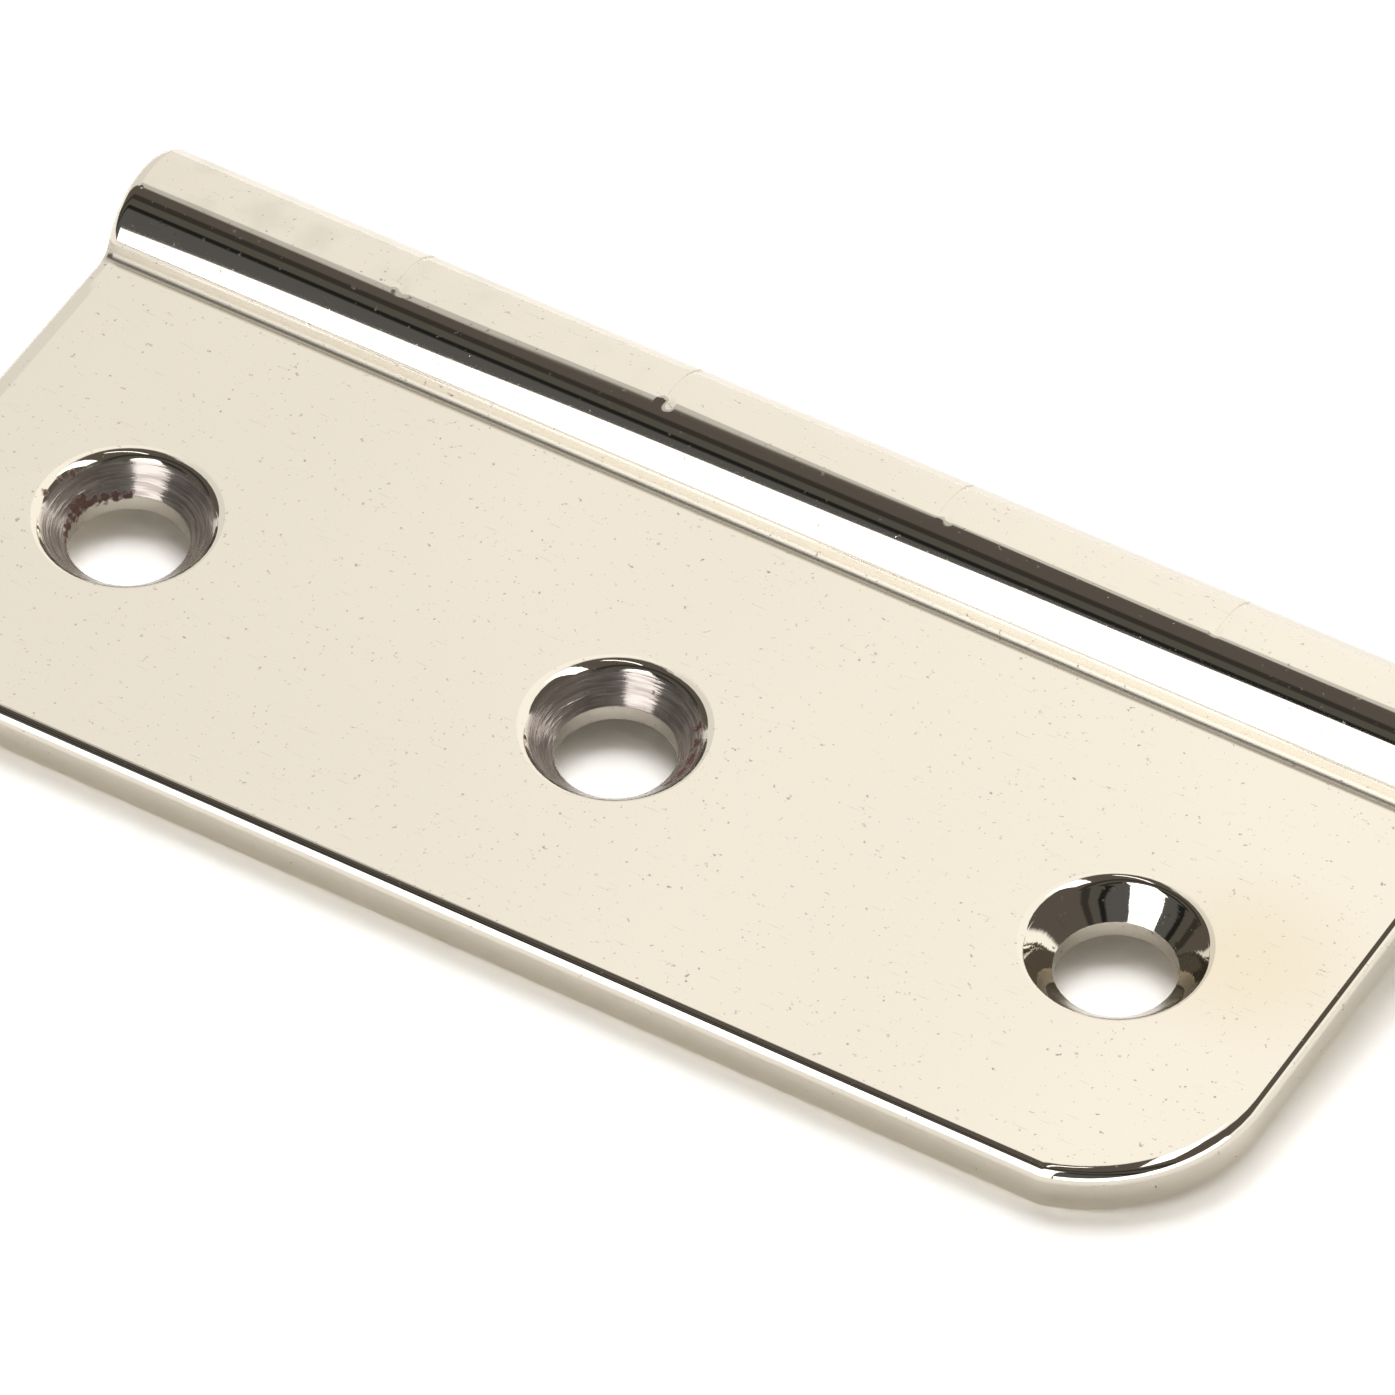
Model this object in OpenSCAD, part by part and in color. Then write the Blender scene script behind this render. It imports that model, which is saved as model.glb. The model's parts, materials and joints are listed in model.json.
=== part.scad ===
// Dummy butt hinge: one cast and polished leaf with a solid barrel along its rear edge.
// It looks like a closed butt hinge but doesn't move, so leaf and barrel are a single piece.
// The origin is on the leaf's back, on the axis of the middle screw hole. X runs along the barrel,
// Y from the front edge towards the barrel, and Z out of the leaf on its countersunk side.

/* [Leaf] */
// Length of the leaf and of its barrel
leaf_length = 76.2; // [70:0.1:110]
// Thickness of the leaf
leaf_thickness = 2.4; // [1.9:0.1:3.2]
// Distance from the line of screw holes to the front edge
front_reach = 14; // [9:0.1:20]
// Distance from the line of screw holes to the barrel's axis
barrel_reach = 18.45; // [13:0.05:26]
// Radius of the two front corners, seen from above
corner_radius = 9.4; // [3:0.1:12]
// How far the corner's arc would run past the front edge, which leaves a slight angle where they meet
corner_overrun = 0.35; // [0:0.05:0.6]
// Rounding of the upper edges and of the barrel's ends
edge_rounding = 0.7; // [0.2:0.05:1.2]
// Small rounding along the lower edges of the leaf
back_rounding = 0.2; // [0.1:0.05:0.4]

/* [Barrel] */
// Diameter of the barrel
barrel_diameter = 7.6; // [6.5:0.1:10]
// Height of the barrel's axis above the back of the leaf
barrel_axis_height = 1.6; // [0.5:0.1:2.4]
// Radius of the fillet between the leaf and the barrel
foot_fillet = 0.4; // [0.3:0.05:1.2]

/* [Knuckle lines] */
// Number of knuckles that the lines mark off on the barrel
knuckles = 5; // [3:2:7]
// Width of a line
line_width = 0.3; // [0.2:0.05:0.6]
// Depth of a line at the rear of the barrel
line_depth = 0.1; // [0.06:0.01:0.3]
// Angle past the top of the barrel, towards the leaf, where a line runs out
line_end_angle = 12; // [5:1:30]

/* [Screw holes] */
// Number of screw holes
holes = 3; // [1:1:3]
// Distance between neighbouring screw holes
hole_spacing = 27.4; // [16:0.1:30]
// Diameter of the hole under the countersink
hole_diameter = 6; // [4:0.1:7]
// Full angle of the countersink
countersink_angle = 90; // [82:1:100]
// Length of the straight wall under the countersink
straight_wall = 0.9; // [0.5:0.05:1.2]
// Radius that polishing has left on the rim of the countersink
rim_rounding = 1.2; // [0.3:0.05:1.4]

/* [Hidden] */
$fn = 96;

// Room by which a cutter stands clear of the surfaces that it opens
clear = 1;

barrel_radius = barrel_diameter / 2;
half_length = leaf_length / 2;
leaf_depth = front_reach + barrel_reach;

// The core of the barrel lies a little nearer to the leaf than the knuckles. At the rear they stand
// proud of it by line_depth, and they sink into it at line_end_angle past the top, so the front is
// one smooth surface.
core_shift = line_depth / (1 + sin(line_end_angle));
core_radius = barrel_radius - line_depth + core_shift;
core_reach = barrel_reach - core_shift;
// The core's ends stay a trace inside the end knuckles, so the two roundings don't coincide
end_relief = 0.02;

// The rod that shapes the fillet lies on the leaf's face, and a hair off the core, because round
// surfaces that only touch don't join cleanly
hair = 0.003;
fillet_z = leaf_thickness + foot_fillet;
fillet_y = core_reach
    - sqrt(pow(core_radius + foot_fillet + hair, 2) - pow(fillet_z - barrel_axis_height, 2));

// Steel-white of polished nickel plate
nickel = [0.85, 0.83, 0.77];

// Section of a slab as thick as the leaf, from x = 0 to x = width, with its outer edge rounded
module edge_section(width) {
    translate([0, back_rounding])
        square([width, leaf_thickness - edge_rounding - back_rounding]);
    square([width - back_rounding, back_rounding]);
    square([width - edge_rounding, leaf_thickness]);
    translate([width - edge_rounding, leaf_thickness - edge_rounding])
        circle(edge_rounding);
    translate([width - back_rounding, back_rounding])
        circle(back_rounding);
}

// The leaf with straight edges all round, cut off at the barrel's axis
module square_leaf() {
    intersection() {
        // Rounded front edge, along the barrel's direction
        translate([-half_length, barrel_reach, 0])
            rotate([90, 0, 90])
                mirror([1, 0])
                    linear_extrude(leaf_length)
                        edge_section(leaf_depth);
        // Rounded ends, on both sides of the middle
        translate([0, barrel_reach, 0])
            rotate([90, 0, 0])
                linear_extrude(leaf_depth)
                    for (side = [0, 1])
                        mirror([side, 0])
                            edge_section(half_length);
    }
}

// What is cut off the right-hand front corner: its square outside a disc with a rounded rim
module corner_cut() {
    reach = corner_radius + clear;
    translate([half_length - corner_radius, corner_radius - corner_overrun - front_reach, 0])
        difference() {
            translate([0, -reach, -clear])
                cube([reach, reach, leaf_thickness + 2 * clear]);
            rotate_extrude() {
                edge_section(corner_radius);
                translate([0, -2 * clear])
                    square([corner_radius - edge_rounding, leaf_thickness + 4 * clear]);
            }
        }
}

module leaf() {
    difference() {
        square_leaf();
        for (side = [0, 1])
            mirror([side, 0, 0])
                corner_cut();
    }
}

// Solid rod along X with rounded ends, centred on the origin
module rod(radius, length) {
    translate([-length / 2, 0, 0])
        rotate([0, 90, 0])
            rotate_extrude() {
                square([radius - edge_rounding, length]);
                translate([0, edge_rounding])
                    square([radius, length - 2 * edge_rounding]);
                for (end = [edge_rounding, length - edge_rounding])
                    translate([radius - edge_rounding, end])
                        circle(edge_rounding);
            }
}

// Core of the barrel, and the knuckles that stand proud of it at the rear
module barrel() {
    knuckle_length = leaf_length / knuckles;
    gap_height = barrel_diameter + 2 * clear;
    translate([0, core_reach, barrel_axis_height])
        rod(core_radius, leaf_length - 2 * end_relief);
    translate([0, barrel_reach, barrel_axis_height])
        difference() {
            rod(barrel_radius, leaf_length);
            for (i = [1:knuckles - 1])
                translate([i * knuckle_length - half_length, 0, 0])
                    cube([line_width, gap_height, gap_height], center = true);
        }
}

// Fillet between the leaf's face and the barrel. The rod that shapes it flares at both ends, so
// the rounding of the leaf's edge runs on round the fillet to the barrel's end.
module barrel_foot() {
    difference() {
        translate([-half_length, 0, 0])
            rotate([90, 0, 90])
                linear_extrude(leaf_length)
                    polygon([
                        [fillet_y, back_rounding],
                        [fillet_y, fillet_z],
                        [barrel_reach, barrel_axis_height],
                        [barrel_reach, back_rounding]
                    ]);
        translate([-half_length, fillet_y, fillet_z])
            rotate([0, 90, 0])
                rotate_extrude() {
                    translate([0, -clear])
                        square([foot_fillet, leaf_length + 2 * clear]);
                    for (end = [0, 1])
                        translate([foot_fillet, end * leaf_length])
                            mirror([0, end])
                                difference() {
                                    translate([-foot_fillet / 2, -clear])
                                        square([edge_rounding + foot_fillet / 2, edge_rounding + clear]);
                                    translate([edge_rounding, edge_rounding])
                                        circle(edge_rounding);
                                }
                }
    }
}

// Cutter for one screw hole: straight wall, countersink and a rim that polishing has rounded over
module screw_hole() {
    slope = countersink_angle / 2;
    hole_radius = hole_diameter / 2;
    // Radius at which cone and face would meet, and at which the rounding starts on the face
    sharp_rim = hole_radius + (leaf_thickness - straight_wall) * tan(slope);
    rim = sharp_rim + rim_rounding * tan((90 - slope) / 2);
    rotate_extrude()
        difference() {
            polygon([
                [0, -clear],
                [hole_radius, -clear],
                [hole_radius, straight_wall],
                [rim - rim_rounding * cos(slope), leaf_thickness - rim_rounding * (1 - sin(slope))],
                [rim, leaf_thickness],
                [rim, leaf_thickness + clear],
                [0, leaf_thickness + clear]
            ]);
            translate([rim, leaf_thickness - rim_rounding])
                circle(rim_rounding);
        }
}

module dummy_leaf() {
    color(nickel)
        difference() {
            union() {
                leaf();
                barrel_foot();
                barrel();
            }
            for (i = [0:holes - 1])
                translate([(i - (holes - 1) / 2) * hole_spacing, 0, 0])
                    screw_hole();
        }
}

dummy_leaf();
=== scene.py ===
"""Dummy butt hinge: nickel plated and polished, on a pale table in soft studio light."""

import json
import math

import bpy
from mathutils import Matrix, Vector


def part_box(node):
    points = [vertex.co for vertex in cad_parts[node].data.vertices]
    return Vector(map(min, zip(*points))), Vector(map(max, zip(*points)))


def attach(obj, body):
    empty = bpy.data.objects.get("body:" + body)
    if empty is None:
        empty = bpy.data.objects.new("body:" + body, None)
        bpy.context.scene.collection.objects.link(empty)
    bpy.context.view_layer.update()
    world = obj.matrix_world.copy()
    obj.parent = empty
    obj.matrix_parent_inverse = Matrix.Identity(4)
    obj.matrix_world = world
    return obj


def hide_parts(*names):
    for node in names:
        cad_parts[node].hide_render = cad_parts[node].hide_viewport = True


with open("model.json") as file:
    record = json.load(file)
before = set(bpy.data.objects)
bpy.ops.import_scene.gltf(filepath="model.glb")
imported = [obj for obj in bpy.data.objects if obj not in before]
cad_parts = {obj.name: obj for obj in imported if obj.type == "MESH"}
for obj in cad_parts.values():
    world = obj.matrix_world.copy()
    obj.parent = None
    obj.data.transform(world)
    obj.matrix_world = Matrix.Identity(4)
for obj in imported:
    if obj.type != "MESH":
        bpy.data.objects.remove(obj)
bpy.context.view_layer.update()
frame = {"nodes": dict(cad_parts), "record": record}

MM = 0.001

# Places of the hinge, as the frame gives them
leaf = frame["nodes"]["dummy_leaf"]
low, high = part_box("dummy_leaf")
mounts = {mount["name"]: mount for mount in frame["record"]["mounts"]}
hole_pitch = mounts["screw_hole_right"]["pos_m"][0] / MM
hole_radius = mounts["screw_hole_middle"]["dims"]["r_mm"]

# The barrel is the highest part, and it also reaches lowest and farthest back
barrel_radius = (high.z - low.z) / 2
barrel_y = high.y - barrel_radius
barrel_z = high.z - barrel_radius

# Sizes of the solid in mm: the leaf's thickness, the height at which the straight wall of a screw
# hole ends and its countersink starts, the rounding of the rims, and the radius at which cone and
# face would meet without it
LEAF_THICKNESS = 2.4
WALL_TOP = 0.9
RIM_ROUNDING = 1.2
cone_rim = hole_radius + LEAF_THICKNESS - WALL_TOP

# The front corners' radius and the centre of the right-hand one, and the front edge's distance from
# the holes, in mm
CORNER_RADIUS = 9.4
CORNER_CENTRE = (28.7, -4.95)
FRONT_REACH = 14.0

# Depth of the knuckle lines in mm, and how many degrees past the top of the barrel they run out.
# The core of the barrel lies a little nearer to the leaf than the knuckles do.
LINE_DEPTH = 0.1
LINE_END_ANGLE = 12
core_shift = LINE_DEPTH / (1 + math.sin(math.radians(LINE_END_ANGLE)))

# Rounding of the rims in mm as polished, by the hole's number: least, and most on the side that
# RIM_SIDE gives in degrees. It fades between the two angles on either side of it.
RIM_LEAST = 0.3
RIM_MOST = {-1: 1.2, 0: 1.3, 1: 0.95}
RIM_SIDE = 120
RIM_FADE_START = 25
RIM_FADE_END = 120


def srgb(code):
    """Linear colour, with alpha, of a hex code."""
    channels = [int(code[i:i + 2], 16) / 255 for i in (1, 3, 5)]
    linear = [c / 12.92 if c <= 0.04045 else ((c + 0.055) / 1.055) ** 2.4 for c in channels]
    return (*linear, 1.0)


def add(tree, kind, inputs=None, **settings):
    """Adds a shader node with its settings. An input takes a value, a socket, or a node's result."""
    node = tree.nodes.new("ShaderNode" + kind)
    for name, value in settings.items():
        setattr(node, name, value)
    for name, value in (inputs or {}).items():
        if isinstance(value, bpy.types.Node):
            value = next(socket for socket in value.outputs if socket.enabled)
        if isinstance(value, bpy.types.NodeSocket):
            tree.links.new(value, node.inputs[name])
        else:
            node.inputs[name].default_value = value
    return node


def new_material(name):
    """A material with an empty node tree, and its output node."""
    material = bpy.data.materials.new(name)
    material.use_nodes = True
    tree = material.node_tree
    tree.nodes.clear()
    return material, tree, add(tree, "OutputMaterial")


def on_cone(hole, degrees, reach):
    """Point on a countersink, in mm, from the hole's number, the angle round it and the radius."""
    angle = math.radians(degrees)
    return (
        hole * hole_pitch + reach * math.cos(angle),
        reach * math.sin(angle),
        WALL_TOP + reach - hole_radius,
    )


# Red-brown residue of polish in the countersinks: a point, and the radius of the patch in mm
RESIDUE = (
    (on_cone(-1, 212, 3.0), 0.45),
    (on_cone(-1, 203, 3.0), 0.5),
    (on_cone(-1, 193, 3.05), 0.5),
    (on_cone(-1, 183, 3.1), 0.55),
    (on_cone(-1, 174, 3.2), 0.7),
    (on_cone(-1, 165, 3.2), 0.7),
    (on_cone(-1, 155, 3.1), 0.55),
    (on_cone(-1, 144, 3.05), 0.5),
    (on_cone(-1, 133, 3.0), 0.45),
    (on_cone(-1, 122, 3.0), 0.4),
    (on_cone(-1, 170, 4.3), 0.3),
    (on_cone(-1, 160, 4.3), 0.35),
    (on_cone(-1, 186, 4.4), 0.35),
    (on_cone(0, 40, 4.0), 0.5),
    (on_cone(0, 27, 3.9), 0.7),
    (on_cone(0, 12, 3.8), 0.8),
    (on_cone(0, -3, 3.7), 0.75),
    (on_cone(0, -15, 3.6), 0.6),
    (on_cone(1, 128, 4.15), 0.15),
    (on_cone(1, 129, 3.75), 0.12),
)

# Middle and radius of the warm stain on the right, in mm
STAIN = (33.2, 2.5, LEAF_THICKNESS)
STAIN_RADIUS = 7.0

# Small dents where the knuckle lines run out near the top of the barrel: a point, radius and
# depth, all in mm
DENTS = (
    ((-22.65, 17.49, 5.28), 0.5, 0.006),
    ((-7.65, 17.46, 5.27), 0.6, 0.018),
    ((7.91, 17.55, 5.29), 0.5, 0.005),
    ((22.63, 17.77, 5.34), 0.5, 0.005),
)


def nickel_plate():
    """Nickel plated and polished brass: warm steel-white and near mirror bright."""
    material, tree, output = new_material("nickel_plate_polished")
    place = add(tree, "TexCoord").outputs["Object"]
    in_mm = add(tree, "VectorMath", {0: place, "Scale": 1 / MM}, operation="SCALE")
    x, y, z = add(tree, "SeparateXYZ", {0: in_mm}).outputs

    # Number of the nearest screw hole, and the direction and distance from its axis
    hole = add(tree, "Math", {0: x, 1: hole_pitch}, operation="DIVIDE")
    hole = add(tree, "Math", {0: hole}, operation="ROUND")
    beside = add(tree, "Math", {0: hole, 1: -hole_pitch, 2: x}, operation="MULTIPLY_ADD")
    from_axis = add(tree, "CombineXYZ", {0: beside, 1: y})
    reach = add(tree, "VectorMath", {0: from_axis}, operation="LENGTH").outputs["Value"]
    direction = add(tree, "VectorMath", {0: from_axis}, operation="NORMALIZE")

    # Where each finish lies: a value, and what it is at the mask's 0 and at its 1. The buffing
    # wheel doesn't reach into the fillet at the foot of the barrel, so that stays satin. Its colour
    # is also darkened there, and that darkening is painted shade in the crease.
    mask = {}
    for name, value, start, end in (
        ("inside", reach, hole_radius + 1.35, hole_radius + 1.1),
        ("above_wall", z, WALL_TOP - 0.06, WALL_TOP + 0.02),
        ("in_wall", reach, hole_radius + 0.12, hole_radius + 0.04),
        ("below_cone", z, WALL_TOP + 0.04, WALL_TOP - 0.02),
        ("other_holes", hole, 1.0, 0.0),
        ("on_barrel", y, 15.0, 16.5),
        ("left_end", x, 10.0, -36.0),
        ("on_leaf", y, 13.0, 11.0),
        ("past_face", y, 14.1, 14.4),
        ("before_barrel", y, 15.6, 15.2),
        ("low_down", z, 3.2, 3.0),
    ):
        limits = {"Value": value, "From Min": start, "From Max": end}
        mask[name] = add(tree, "MapRange", limits, interpolation_type="SMOOTHSTEP")
    for name, first, second in (
        ("cone", "inside", "above_wall"),
        ("wall", "in_wall", "below_cone"),
        ("turned_cone", "cone", "other_holes"),
        ("left_barrel", "on_barrel", "left_end"),
        ("beside_fillet", "past_face", "before_barrel"),
        ("fillet", "beside_fillet", "low_down"),
    ):
        mask[name] = add(tree, "Math", {0: mask[first], 1: mask[second]}, operation="MULTIPLY")

    # Marks of the countersinking tool: rings 0.1 to 0.2 mm apart that fade in and out round the
    # hole. The right-hand hole was polished further, so it keeps only a trace of them.
    layer = add(tree, "Math", {0: reach, 1: 10.0}, operation="MULTIPLY")
    layer = add(tree, "Math", {0: hole, 1: 7.0, 2: layer}, operation="MULTIPLY_ADD")
    layer = add(tree, "CombineXYZ", {2: layer})
    ring_place = {0: direction, 1: (1.5, 1.5, 1.5), 2: layer}
    ring_place = add(tree, "VectorMath", ring_place, operation="MULTIPLY_ADD")
    rings = add(tree, "TexNoise", {"Vector": ring_place, "Scale": 1.0, "Detail": 2.0})
    ring_depth = add(tree, "Math", {0: mask["turned_cone"], 1: 0.022, 2: 0.002}, operation="MULTIPLY_ADD")
    ring_depth = add(tree, "Math", {0: ring_depth, 1: mask["cone"]}, operation="MULTIPLY")
    ring_height = add(tree, "Math", {0: rings, 1: ring_depth}, operation="MULTIPLY")

    # Buffing leaves the faces a little wavy, over about 20 mm
    waves = add(tree, "TexNoise", {"Vector": in_mm, "Scale": 1 / 20, "Detail": 0.0})
    height = add(tree, "Math", {0: waves, 1: 0.12, 2: ring_height}, operation="MULTIPLY_ADD")

    for point, radius, depth in DENTS:
        distance = add(tree, "VectorMath", {0: in_mm, 1: point}, operation="DISTANCE").outputs["Value"]
        limits = {"Value": distance, "From Min": 0.0, "From Max": radius, "To Min": -depth, "To Max": 0.0}
        dent = add(tree, "MapRange", limits, interpolation_type="SMOOTHSTEP")
        height = add(tree, "Math", {0: height, 1: dent}, operation="ADD")

    # Pits in the plating, up to 0.27 mm wide, and fine ones that glint on the barrel: cells in a
    # mm, share of cells without a pit, greatest radius in cells, depth in mm
    pits = None
    for per_mm, share, size, depth in ((1.1, 0.8, 0.15, 0.003), (3.1, 0.85, 0.2, 0.002)):
        cells = add(tree, "TexVoronoi", {"Vector": in_mm, "Scale": per_mm})
        pick = add(tree, "SeparateColor", {0: cells.outputs["Color"]})
        limits = {"Value": pick, "From Min": share, "From Max": 1.0, "To Min": 0.0, "To Max": size}
        wide = add(tree, "MapRange", limits)
        near = add(tree, "Math", {0: wide, 1: cells.outputs["Distance"]}, operation="SUBTRACT")
        limits = {"Value": near, "From Min": 0.0, "From Max": size * 0.6}
        pit = add(tree, "MapRange", limits, interpolation_type="SMOOTHSTEP")
        height = add(tree, "Math", {0: pit, 1: -depth, 2: height}, operation="MULTIPLY_ADD")
        pits = pit if pits is None else add(tree, "Math", {0: pits, 1: pit}, operation="MAXIMUM")

    # Short buffing scratches along the leaf, up to 1 mm long and 0.06 mm wide. Each of the three
    # layers is turned and shifted after it is stretched, so no two are alike.
    scratches = None
    for turn, shift in ((62, 0.0), (-50, 3.7), (-75, 8.1)):
        turned = add(tree, "Mapping", {
            "Vector": in_mm,
            "Location": (shift, 0, 0),
            "Rotation": (0, 0, math.radians(turn)),
            "Scale": (0.9, 16, 0.9),
        })
        cells = add(tree, "TexVoronoi", {"Vector": turned, "Scale": 1.0})
        limits = {"Value": cells.outputs["Distance"], "From Min": 0.5, "From Max": 0.2}
        line = add(tree, "MapRange", limits, interpolation_type="SMOOTHSTEP")
        pick = add(tree, "SeparateColor", {0: cells.outputs["Color"]})
        limits = {"Value": pick, "From Min": 0.991, "From Max": 1.0}
        pick = add(tree, "MapRange", limits)
        line = add(tree, "Math", {0: line, 1: pick}, operation="MULTIPLY")
        scratches = line if scratches is None else add(
            tree, "Math", {0: scratches, 1: line}, operation="MAXIMUM",
        )

    # Residue, ragged at its edges
    residue = None
    for point, radius in RESIDUE:
        distance = add(tree, "VectorMath", {0: in_mm, 1: point}, operation="DISTANCE").outputs["Value"]
        limits = {"Value": distance, "From Min": radius, "From Max": 0.0}
        spot = add(tree, "MapRange", limits)
        residue = spot if residue is None else add(
            tree, "Math", {0: residue, 1: spot}, operation="MAXIMUM",
        )
    grain = add(tree, "TexNoise", {"Vector": in_mm, "Scale": 3.5, "Detail": 3.0})
    grain = add(tree, "Math", {0: grain, 1: 1.8, 2: -0.9}, operation="MULTIPLY_ADD")
    residue = add(tree, "Math", {0: residue, 1: grain}, operation="ADD")
    residue = add(tree, "MapRange", {"Value": residue, "From Min": 0.3, "From Max": 0.65})

    # A faint warm stain on the right, and cloudy plating at the barrel's left end
    cloud = add(tree, "TexNoise", {"Vector": in_mm, "Scale": 0.35, "Detail": 3.0})
    limits = {"Value": cloud, "From Min": 0.45, "From Max": 0.75}
    cloudy = add(tree, "MapRange", limits, interpolation_type="SMOOTHSTEP")
    cloudy = add(tree, "Math", {0: cloudy, 1: mask["left_barrel"]}, operation="MULTIPLY")
    distance = add(tree, "VectorMath", {0: in_mm, 1: STAIN}, operation="DISTANCE").outputs["Value"]
    limits = {"Value": distance, "From Min": STAIN_RADIUS, "From Max": 1.0}
    stain = add(tree, "MapRange", limits, interpolation_type="SMOOTHSTEP")

    # The buffing wheel has rolled the leaf's face down a little, over the last 1 mm to its edge
    inside_x = add(tree, "Math", {0: x}, operation="ABSOLUTE")
    inside_x = add(tree, "Math", {0: inside_x, 1: CORNER_CENTRE[0]}, operation="SUBTRACT")
    inside_y = add(tree, "Math", {0: CORNER_CENTRE[1], 1: y}, operation="SUBTRACT")
    from_centre = add(tree, "CombineXYZ", {0: inside_x, 1: inside_y})
    from_centre = add(tree, "VectorMath", {0: from_centre, 1: (0, 0, 0)}, operation="MAXIMUM")
    from_centre = add(tree, "VectorMath", {0: from_centre}, operation="LENGTH").outputs["Value"]
    from_edge = add(tree, "Math", {0: CORNER_RADIUS, 1: from_centre}, operation="SUBTRACT")
    from_front = add(tree, "Math", {0: y, 1: FRONT_REACH}, operation="ADD")
    from_edge = add(tree, "Math", {0: from_edge, 1: from_front}, operation="MINIMUM")
    limits = {"Value": from_edge, "From Min": 1.05, "From Max": 0.45}
    rolled = add(tree, "MapRange", limits, interpolation_type="SMOOTHSTEP")
    rolled = add(tree, "Math", {0: rolled, 1: mask["on_leaf"]}, operation="MULTIPLY")
    height = add(tree, "Math", {0: rolled, 1: -0.05, 2: height}, operation="MULTIPLY_ADD")

    # Darker and lighter rings on the turned cones
    limits = {"Value": rings, "From Min": 0.62, "From Max": 0.38}
    ring_tone = add(tree, "MapRange", limits, interpolation_type="SMOOTHSTEP")
    ring_tone = add(tree, "Math", {0: ring_tone, 1: mask["turned_cone"]}, operation="MULTIPLY")

    # Polished nickel, and the tones laid over it one after the other, each at its strength
    colour = srgb("#E8E1D4")
    for factor, strength, tone in (
        (stain, 0.6, "#E2D6BE"),
        # The fillet's darker grey is painted shade in the crease at the barrel's foot; its satin
        # roughness is real
        (mask["fillet"], 0.55, "#B4AC9C"),
        (cloudy, 0.4, "#C9C6B4"),
        (mask["turned_cone"], 0.4, "#B3A4A6"),
        (ring_tone, 0.6, "#8E7D78"),
        (pits, 0.4, "#8F8675"),
        (scratches, 0.3, "#9A907C"),
        (residue, 0.9, "#5F3320"),
    ):
        factor = add(tree, "Math", {0: factor, 1: strength}, operation="MULTIPLY")
        colour = add(tree, "Mix", {0: factor, 6: colour, 7: srgb(tone)}, data_type="RGBA")

    # Roughness where it is polished, and what the other finishes add to it
    roughness = 0.045
    for factor, more in (
        (mask["wall"], 0.3),
        (mask["turned_cone"], 0.09),
        (mask["fillet"], 0.3),
        (residue, 0.35),
    ):
        roughness = add(tree, "Math", {0: factor, 1: more, 2: roughness}, operation="MULTIPLY_ADD")

    # The turned cones are a little dull, and the residue is no metal
    metal = add(tree, "Math", {0: mask["turned_cone"], 1: -0.4, 2: 1.0}, operation="MULTIPLY_ADD")
    metal = add(tree, "Math", {0: residue, 1: -0.8, 2: metal}, operation="MULTIPLY_ADD", use_clamp=True)
    shader = add(tree, "BsdfPrincipled", {
        "Base Color": colour,
        "Metallic": metal,
        "Roughness": roughness,
        "Normal": add(tree, "Bump", {"Height": height, "Distance": MM}),
    })
    tree.links.new(shader.outputs[0], output.inputs["Surface"])
    return material


def pale_table():
    """Matt white laminate that keeps the hinge's shadow; camera and mirrors see it lighter."""
    material, tree, output = new_material("white_laminate")
    rays = add(tree, "LightPath").outputs
    seen = add(tree, "Math", {0: rays["Is Camera Ray"], 1: 1.6, 2: 1.0}, operation="MULTIPLY_ADD")
    seen = add(tree, "Math", {0: rays["Is Glossy Ray"], 1: 0.9, 2: seen}, operation="MULTIPLY_ADD")
    seen = add(tree, "Math", {0: rays["Is Transmission Ray"], 1: 0.9, 2: seen}, operation="MULTIPLY_ADD")
    colour = add(tree, "VectorMath", {0: srgb("#E6E6E6")[:3], "Scale": seen}, operation="SCALE")
    top = add(tree, "BsdfDiffuse", {"Color": colour})
    tree.links.new(top.outputs[0], output.inputs["Surface"])
    return material


def polish_rims(plate):
    """Polishing has rounded each rim most on the side towards the barrel, so the rims are reshaped.

    The solid has the same rounding all the way round. Here it shrinks on the other sides.
    Returns the true normal of each rim vertex, by the vertex's number.
    """
    normals = {}
    # The rounding spans 45 degrees. It starts on the face, this share of its radius outside the
    # cone's sharp rim, and ends just above the height called lowest. A corner right at its start
    # may lie a trace outside it, in mm.
    arc = math.tan(math.radians(45) / 2)
    lowest = LEAF_THICKNESS - RIM_ROUNDING * 0.3
    trace = 0.01
    for vertex in plate.data.vertices:
        x, y, z = vertex.co / MM
        number = round(x / hole_pitch)
        reach = math.hypot(x - number * hole_pitch, y)
        outside = reach - cone_rim - RIM_ROUNDING * arc
        if abs(number) > 1 or outside > trace or z < lowest:
            continue
        lean = math.atan2(-outside, z - LEAF_THICKNESS + RIM_ROUNDING)
        angle = math.degrees(math.atan2(y, x - number * hole_pitch))
        off = abs((angle - RIM_SIDE + 180) % 360 - 180)
        share = min(1, max(0, (RIM_FADE_END - off) / (RIM_FADE_END - RIM_FADE_START)))
        share = share * share * (3 - 2 * share)
        rounding = RIM_LEAST + (RIM_MOST[number] - RIM_LEAST) * share
        new_reach = cone_rim + rounding * (arc - math.sin(lean))
        ratio = new_reach / reach
        inward = Vector((number * hole_pitch - x, -y, 0)) / reach
        normals[vertex.index] = inward * math.sin(lean) + Vector((0, 0, math.cos(lean)))
        vertex.co = Vector((
            number * hole_pitch + (x - number * hole_pitch) * ratio,
            y * ratio,
            LEAF_THICKNESS - rounding * (1 - math.cos(lean)),
        )) * MM
    return normals


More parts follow.
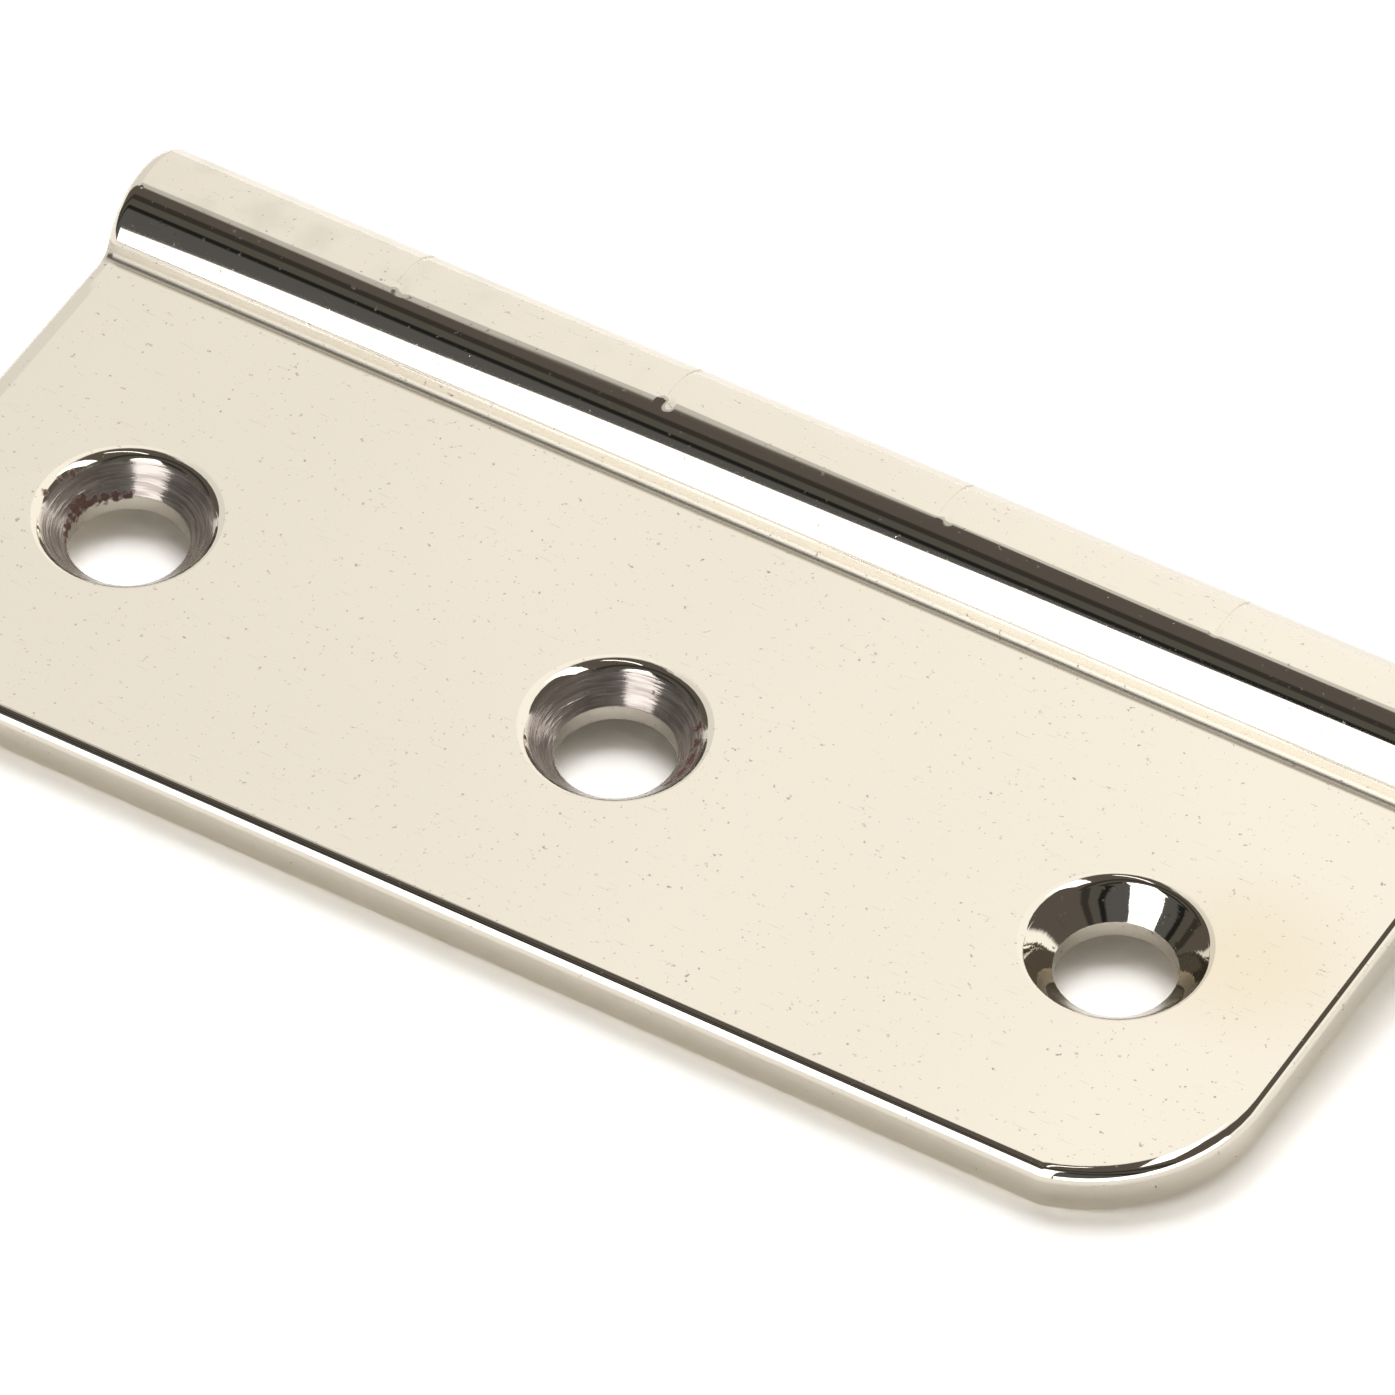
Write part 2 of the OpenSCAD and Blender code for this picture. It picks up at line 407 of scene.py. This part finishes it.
def true_normals(plate, rim_normals):
    """Gives barrel and rims the shading of true round surfaces, which their uneven triangles lack."""
    mesh = plate.data
    # A corner lies on the barrel's core if it is this near to it, in mm
    near = 0.002
    axis = Vector((0, barrel_y / MM - core_shift, barrel_z / MM))
    radius = barrel_radius / MM - LINE_DEPTH + core_shift
    normals = [corner.vector.copy() for corner in mesh.corner_normals]
    for face in mesh.polygons:
        spokes = [mesh.vertices[number].co / MM - axis for number in face.vertices]
        for spoke in spokes:
            spoke.x = 0
        # Faces that lie on the barrel's core, and then faces that lie on a rim
        if all(abs(spoke.length - radius) < near for spoke in spokes):
            for corner, spoke in zip(face.loop_indices, spokes):
                normals[corner] = spoke.normalized()
        if all(number in rim_normals for number in face.vertices):
            for corner, number in zip(face.loop_indices, face.vertices):
                normals[corner] = rim_normals[number]
    mesh.normals_split_custom_set(normals)


def plated_leaf():
    """The CAD shape with its triangles joined, smooth over the curves and crisp at the corners."""
    plate = bpy.data.objects.new("plated_leaf", leaf.data.copy())
    bpy.context.scene.collection.objects.link(plate)
    bpy.ops.object.select_all(action="DESELECT")
    plate.select_set(True)
    bpy.context.view_layer.objects.active = plate
    bpy.ops.mesh.customdata_custom_splitnormals_clear()
    bpy.ops.object.mode_set(mode="EDIT")
    bpy.ops.mesh.select_all(action="SELECT")
    bpy.ops.mesh.remove_doubles(threshold=0.0005 * MM)
    bpy.ops.object.mode_set(mode="OBJECT")
    rim_normals = polish_rims(plate)
    bpy.ops.object.shade_smooth_by_angle(angle=math.radians(30))
    even = plate.modifiers.new("even_normals", "WEIGHTED_NORMAL")
    even.keep_sharp = True
    even.weight = 100
    bpy.ops.object.modifier_apply(modifier=even.name)
    true_normals(plate, rim_normals)
    plate.data.materials.clear()
    plate.data.materials.append(nickel_plate())
    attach(plate, "root")
    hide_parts("dummy_leaf")


plated_leaf()

# The hinge rests on its front edge and on the underside of the barrel, so the table slopes
# a little against the back of the leaf. It ends in front of the hinge, where the room is dark. Both
# of its sizes are in metres.
TABLE_SIZE = 4
TABLE_IN_FRONT = 0.106
edge_to_axis = Vector((barrel_y - low.y, barrel_z))
axis_rise = math.atan2(edge_to_axis.y, edge_to_axis.x)
table_slope = math.asin(barrel_radius / edge_to_axis.length) - axis_rise
table_middle = TABLE_SIZE / 2 - TABLE_IN_FRONT
bpy.ops.object.select_all(action="DESELECT")
bpy.ops.mesh.primitive_plane_add(
    size=TABLE_SIZE,
    location=(0, low.y + table_middle * math.cos(table_slope), -table_middle * math.sin(table_slope)),
    rotation=(-table_slope, 0, 0),
)
table = bpy.context.object
table.name = "table"
table.data.materials.append(pale_table())


def studio_room():
    """Dim room with a lit paper backdrop behind the table; the camera's own view is plain white."""
    world = bpy.data.worlds.new("studio_room")
    bpy.context.scene.world = world
    world.use_nodes = True
    tree = world.node_tree
    tree.nodes.clear()
    direction = add(tree, "SeparateXYZ", {0: add(tree, "TexCoord").outputs["Generated"]})
    across, behind, above = direction.outputs
    to_right = add(tree, "Math", {0: across, 1: -1.6, 2: behind}, operation="MULTIPLY_ADD")
    to_left = add(tree, "Math", {0: across, 1: 0.25, 2: behind}, operation="MULTIPLY_ADD")

    mask = {}
    for name, value, start, end in (
        # The backdrop stands behind and to the left, up to 68 degrees above the table
        ("right_end", to_right, -0.06, 0.0),
        ("left_end", to_left, -0.08, -0.03),
        ("top_end", above, 0.929, 0.924),
        ("rolled", above, 0.904, 0.908),
        # The low sweep of paper on which the table stands runs on to both sides, higher on the right
        ("low", above, 0.12, 0.09),
        ("at_back", behind, -0.05, 0.0),
        ("at_right", across, 0.3, 0.4),
        ("under_right", above, 0.32, 0.26),
    ):
        limits = {"Value": value, "From Min": start, "From Max": end}
        mask[name] = add(tree, "MapRange", limits, interpolation_type="SMOOTHSTEP")
    for name, first, second in (
        ("sides", "right_end", "left_end"),
        ("sheet", "sides", "top_end"),
        ("sweep", "low", "at_back"),
        ("right_sweep", "at_right", "under_right"),
    ):
        mask[name] = add(tree, "Math", {0: mask[first], 1: mask[second]}, operation="MULTIPLY")
    paper = add(tree, "Math", {0: mask["sheet"], 1: mask["sweep"]}, operation="MAXIMUM")
    paper = add(tree, "Math", {0: paper, 1: mask["right_sweep"]}, operation="MAXIMUM")

    # It is lit from the right, and its top is rolled over and so in shade
    limits = {"Value": across, "From Min": -0.45, "From Max": -0.31, "To Min": 0.87, "To Max": 1.18}
    light = add(tree, "MapRange", limits)
    shade = add(tree, "Math", {0: mask["rolled"], 1: -0.4, 2: 1.0}, operation="MULTIPLY_ADD")
    light = add(tree, "Math", {0: light, 1: shade}, operation="MULTIPLY")
    lit_paper = add(tree, "VectorMath", {0: srgb("#FFFDF8")[:3], "Scale": light}, operation="SCALE")

    # Beams and boards under the ceiling, from the front of the room to the back
    from_front = add(tree, "Math", {0: behind, 1: 0.5, 2: 0.5}, operation="MULTIPLY_ADD")
    ceiling = add(tree, "ValToRGB", {"Fac": from_front})
    stops = ceiling.color_ramp.elements
    stops.remove(stops[1])
    stops[0].position = 0.0
    stops[0].color = srgb("#5A5A5A")
    for place, tone in (
        (-0.54, "#5A5A5A"),
        (-0.51, "#222220"),
        (-0.45, "#222220"),
        (-0.43, "#565550"),
        (-0.31, "#585650"),
        (-0.28, "#3A3834"),
        (-0.19, "#3A3834"),
        (-0.15, "#5E5852"),
        (1.0, "#5E5852"),
    ):
        stops.new(place / 2 + 0.5).color = srgb(tone)

    room = add(tree, "Mix", {0: paper, 6: ceiling, 7: lit_paper}, data_type="RGBA")
    room_light = add(tree, "Background", {"Color": room, "Strength": 1.0})
    white = add(tree, "Background", {"Color": (1, 1, 1, 1), "Strength": 1.0})
    camera_ray = add(tree, "LightPath").outputs["Is Camera Ray"]
    shown = add(tree, "MixShader", {0: camera_ray, 1: room_light, 2: white})
    add(tree, "OutputWorld", {"Surface": shown})


def softbox(name, place, aim, width, height, radiance, tilt=0.0, mirrored=True):
    """Rectangular lamp that faces a point. It either shows in mirrors or lights what isn't one.

    Its radiance is what a mirror shows of it, where 1 is white.
    """
    lamp = bpy.data.lights.new(name, "AREA")
    lamp.shape = "RECTANGLE"
    lamp.size = width
    lamp.size_y = height
    lamp.energy = radiance * math.pi * width * height
    holder = bpy.data.objects.new(name, lamp)
    bpy.context.scene.collection.objects.link(holder)
    place, aim = Vector(place), Vector(aim)
    turn = (aim - place).to_track_quat("-Z", "Y").to_matrix().to_4x4()
    holder.matrix_world = Matrix.Translation(place) @ turn @ Matrix.Rotation(math.radians(tilt), 4, "Z")
    holder.visible_diffuse = not mirrored
    holder.visible_glossy = mirrored


studio_room()

# The barrel mirrors a tall softbox in front, and the front edge that and two low white boards. The
# hole rims mirror the two lamps overhead. The key light, behind on the left, gives the shadow.
softbox("front_softbox", (-0.043, -0.3, 0.312), (-0.043, 0, 0.312), 0.251, 0.61, 2.2, tilt=-5.5)
softbox("front_board", (0.23, -0.265, 0.08), (0.03, 0, 0.07), 0.35, 0.15, 1.9)
softbox("right_board", (0.36, -0.05, 0.08), (0.03, 0, 0.07), 0.27, 0.15, 1.9)
softbox("top_softbox", (0.165, 0.14, 0.6), (0, 0, 0), 0.39, 0.12, 2.2)
softbox("top_strip", (-0.07, 0.03, 0.6), (0, 0, 0), 0.2, 0.025, 2.2)
softbox("key_softbox", (-0.25, 0.35, 0.5), (0, 0, 0), 0.5, 0.5, 2.4, mirrored=False)

# Camera, at the photograph's viewing angle: angles in degrees, lens in mm
VIEW_AZIMUTH = 30.901
VIEW_ELEVATION = 46.917
VIEW_ROLL = -0.263
CAMERA_DISTANCE = 746.1 * MM
CAMERA_AIM = Vector((1.107, 5.764, 0)) * MM
LENS = 402.36

azimuth, elevation, roll = map(math.radians, (VIEW_AZIMUTH, VIEW_ELEVATION, VIEW_ROLL))
back = Vector((
    math.sin(azimuth) * math.cos(elevation),
    -math.cos(azimuth) * math.cos(elevation),
    math.sin(elevation),
))
level = Vector((math.cos(azimuth), math.sin(azimuth), 0))
upright = back.cross(level)
right = level * math.cos(roll) + upright * math.sin(roll)
up = upright * math.cos(roll) - level * math.sin(roll)
lens = bpy.data.cameras.new("camera")
lens.lens = LENS
lens.sensor_width = 36
camera = bpy.data.objects.new("camera", lens)
bpy.context.scene.collection.objects.link(camera)
turn = Matrix((right, up, back)).transposed().to_4x4()
camera.matrix_world = Matrix.Translation(CAMERA_AIM + back * CAMERA_DISTANCE) @ turn
bpy.context.scene.camera = camera
bpy.context.scene.view_settings.view_transform = "Standard"
